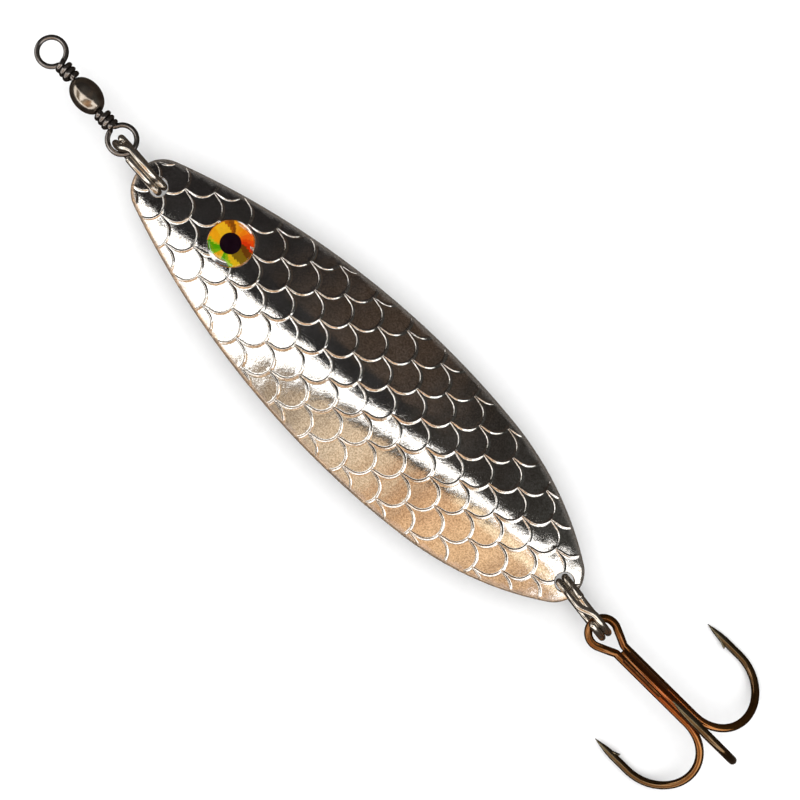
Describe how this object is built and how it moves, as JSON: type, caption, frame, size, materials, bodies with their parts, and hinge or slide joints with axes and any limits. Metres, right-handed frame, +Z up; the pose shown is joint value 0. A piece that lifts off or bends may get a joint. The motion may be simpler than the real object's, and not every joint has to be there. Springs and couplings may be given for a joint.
{
  "type": "spoon lure",
  "caption": "Bowed metal spoon lure with a scaled face and a stick-on eye, a barrel swivel on a split ring at its head and a treble hook on a split ring at its tail.",
  "frame": {"origin": "centre of the swivel's line eye, where the fishing line is tied", "axes": "+X runs from head to tail along the blade's own axis, +Y is to the left of it seen from above the convex face, and +Z is up out of the convex face; the lure is posed as it lies in the picture"},
  "size_m": [0.1251, 0.0232, 0.0192],
  "materials": {
    "plated_blade": "nickel-plated, stamped with overlapping scales",
    "adhesive": "foam adhesive",
    "iris_foil": "holographic film in orange, red, yellow and green, with a printed black pupil",
    "clear_dome": "clear resin",
    "ring_steel": "bright spring steel",
    "dark_nickel": "black nickel",
    "bronzed_hook": "clear bronze lacquer over steel",
    "braze": "braze under bronze lacquer"
  },
  "bodies": {
    "blade": {"blade": "plated_blade", "eye_pad": "adhesive", "eye_foil": "iris_foil", "eye_dome": "clear_dome"},
    "head_ring": {"head_split_ring": "ring_steel"},
    "swivel_lower": {"swivel_lure_eye": "dark_nickel"},
    "barrel": {"swivel_barrel": "dark_nickel"},
    "swivel_upper": {"swivel_line_eye": "dark_nickel"},
    "tail_ring": {"tail_split_ring": "ring_steel"},
    "treble": {"treble_double_hook": "bronzed_hook", "treble_single_hook": "bronzed_hook", "treble_braze": "braze"}
  },
  "joints": [
    {"name": "head_ring_turn", "type": "hinge", "parent": "blade", "child": "head_ring", "pos_m": [0.01799, -0.00249, 0], "axis": [0.0872, 0.9962, 0], "range_deg": [-100, 100]},
    {"name": "swivel_swing", "type": "hinge", "parent": "head_ring", "child": "swivel_lower", "pos_m": [0.01398, -0.00214, 0], "axis": [0, 0, 1], "range_deg": [-60, 70]},
    {"name": "barrel_spin", "type": "hinge", "parent": "swivel_lower", "child": "barrel", "pos_m": [0.00707, -0.00087, 0], "axis": [0.9925, -0.1219, 0], "continuous": true},
    {"name": "line_eye_spin", "type": "hinge", "parent": "barrel", "child": "swivel_upper", "pos_m": [0.00707, -0.00087, 0], "axis": [0.9925, -0.1219, 0], "continuous": true},
    {"name": "tail_ring_turn", "type": "hinge", "parent": "blade", "child": "tail_ring", "pos_m": [0.09714, -0.00345, 0], "axis": [0.1392, 0.9903, 0], "range_deg": [-100, 100]},
    {"name": "treble_swing", "type": "hinge", "parent": "tail_ring", "child": "treble", "pos_m": [0.10147, -0.00405, 0], "axis": [0, 0, 1], "range_deg": [-60, 60]}
  ]
}
